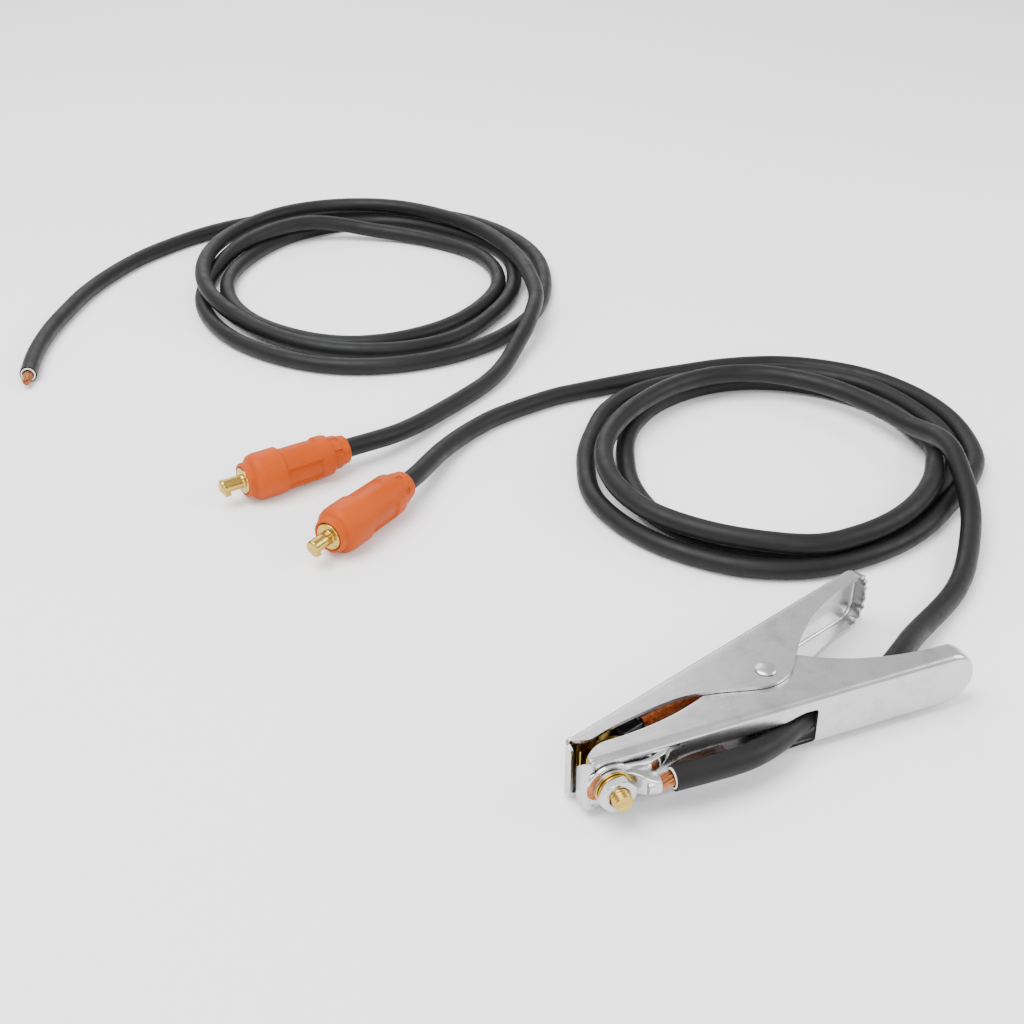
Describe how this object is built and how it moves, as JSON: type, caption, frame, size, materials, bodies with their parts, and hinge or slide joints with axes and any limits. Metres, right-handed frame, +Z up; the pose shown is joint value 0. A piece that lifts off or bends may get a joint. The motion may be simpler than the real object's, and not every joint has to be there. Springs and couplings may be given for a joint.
{
  "type": "welding lead set",
  "caption": "Welding lead set: a sprung earth clamp on a coiled cable and an electrode cable, each with a bayonet plug.",
  "frame": {"origin": "bottom centre of the earth clamp's own box, on the surface that everything lies on", "axes": "+X from the clamp's nose to its handles along the cable lever, +Y from the cable lever to the jaw lever, +Z up along the pivot rivet"},
  "size_m": [0.5305, 0.7543, 0.0343],
  "materials": {
    "zinc_steel": "bright zinc-plated pressed sheet",
    "spring_steel": "dark oiled steel",
    "brass": "bright rolled and turned brass",
    "copper": "bare copper strand and braid",
    "orange_rubber": "moulded, satin",
    "cable_rubber": "smooth extruded jacket, satin",
    "white_liner": "thin separator film"
  },
  "bodies": {
    "cable_side": {"cable_lever": "zinc_steel", "pivot_rivet": "zinc_steel", "cable_lug": "zinc_steel", "braid_clip": "zinc_steel", "terminal_nut": "zinc_steel", "torsion_spring": "spring_steel", "pivot_sleeve": "spring_steel", "electrode_set_screw": "spring_steel", "earth_set_screw": "spring_steel", "cable_side_contact": "brass", "terminal_bolt": "brass", "flat_washer": "brass", "spring_washer": "brass", "electrode_plug_body": "brass", "earth_plug_body": "brass", "copper_braid": "copper", "lug_conductor": "copper", "electrode_crimp_sleeve": "copper", "earth_crimp_sleeve": "copper", "electrode_plug_conductor": "copper", "earth_plug_conductor": "copper", "electrode_bare_conductor": "copper", "electrode_plug_sleeve": "orange_rubber", "earth_plug_sleeve": "orange_rubber", "electrode_feed_cable": "cable_rubber", "electrode_cable_coil": "cable_rubber", "electrode_tail_cable": "cable_rubber", "earth_feed_cable": "cable_rubber", "earth_cable_coil": "cable_rubber", "earth_clamp_cable": "cable_rubber", "lug_cable_liner": "white_liner", "electrode_end_liner": "white_liner"},
    "jaw_side": {"jaw_lever": "zinc_steel", "jaw_side_contact": "brass", "contact_rivet": "brass", "braid_ferrule": "spring_steel"}
  },
  "joints": [
    {"name": "jaw_pivot", "type": "hinge", "parent": "cable_side", "child": "jaw_side", "pos_m": [0.00195, -0.00896, 0.01715], "axis": [0, 0, -1], "range_deg": [0, 13], "stiffness_Nm_per_rad": 4, "springref_deg": -45.84, "deforming": ["torsion_spring", "copper_braid"]}
  ]
}
